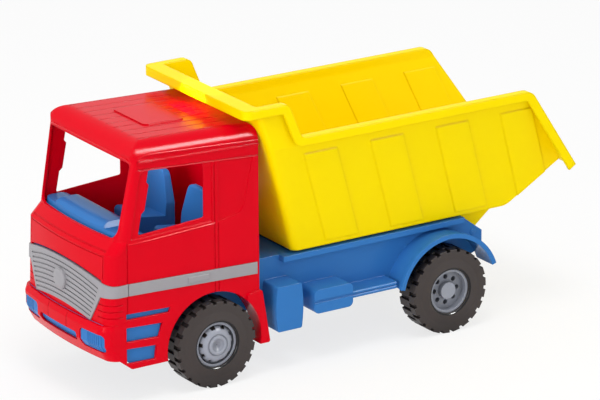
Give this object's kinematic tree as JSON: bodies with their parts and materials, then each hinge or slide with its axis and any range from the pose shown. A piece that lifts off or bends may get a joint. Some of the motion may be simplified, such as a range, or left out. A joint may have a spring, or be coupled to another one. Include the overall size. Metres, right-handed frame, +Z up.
{
  "type": "toy dump truck",
  "caption": "Moulded plastic toy tipper truck with an open cab, tipping bed and free-rolling wheels.",
  "frame": {"origin": "centre of the truck's footprint box, on the floor under the tyres", "axes": "+X forward, +Y to the truck's left, +Z up"},
  "size_m": [0.401, 0.1388, 0.202],
  "materials": {
    "red_plastic": "glossy red moulded plastic",
    "blue_plastic": "glossy blue moulded plastic",
    "yellow_plastic": "glossy yellow moulded plastic",
    "silver_plastic": "satin silver plastic",
    "grey_plastic": "satin light grey plastic",
    "tyre": "matt dark grey-brown soft plastic",
    "steel_rod": "drawn steel rod"
  },
  "bodies": {
    "truck_frame": {"chassis": "blue_plastic", "cab_shell": "red_plastic", "grille_band": "silver_plastic", "front_insert": "blue_plastic", "cab_floor": "blue_plastic", "seat_left": "blue_plastic", "seat_right": "blue_plastic", "dashboard": "blue_plastic", "bed_hinge_pin": "steel_rod"},
    "tipping_bed": {"bed": "yellow_plastic"},
    "front_wheelset": {"front_axle": "steel_rod", "hub_front_left": "grey_plastic", "hub_front_right": "grey_plastic", "tyre_front_left": "tyre", "tyre_front_right": "tyre"},
    "rear_wheelset": {"rear_axle": "steel_rod", "hub_rear_left": "grey_plastic", "hub_rear_right": "grey_plastic", "tyre_rear_left": "tyre", "tyre_rear_right": "tyre"}
  },
  "joints": [
    {"name": "bed_tip", "type": "hinge", "parent": "truck_frame", "child": "tipping_bed", "pos_m": [-0.1275, 0, 0.066], "axis": [0, -1, 0], "range_deg": [0, 50]},
    {"name": "front_wheels_roll", "type": "hinge", "parent": "truck_frame", "child": "front_wheelset", "pos_m": [0.1065, 0, 0.032], "axis": [0, 1, 0], "continuous": true},
    {"name": "rear_wheels_roll", "type": "hinge", "parent": "truck_frame", "child": "rear_wheelset", "pos_m": [-0.0935, 0, 0.032], "axis": [0, 1, 0], "continuous": true}
  ]
}
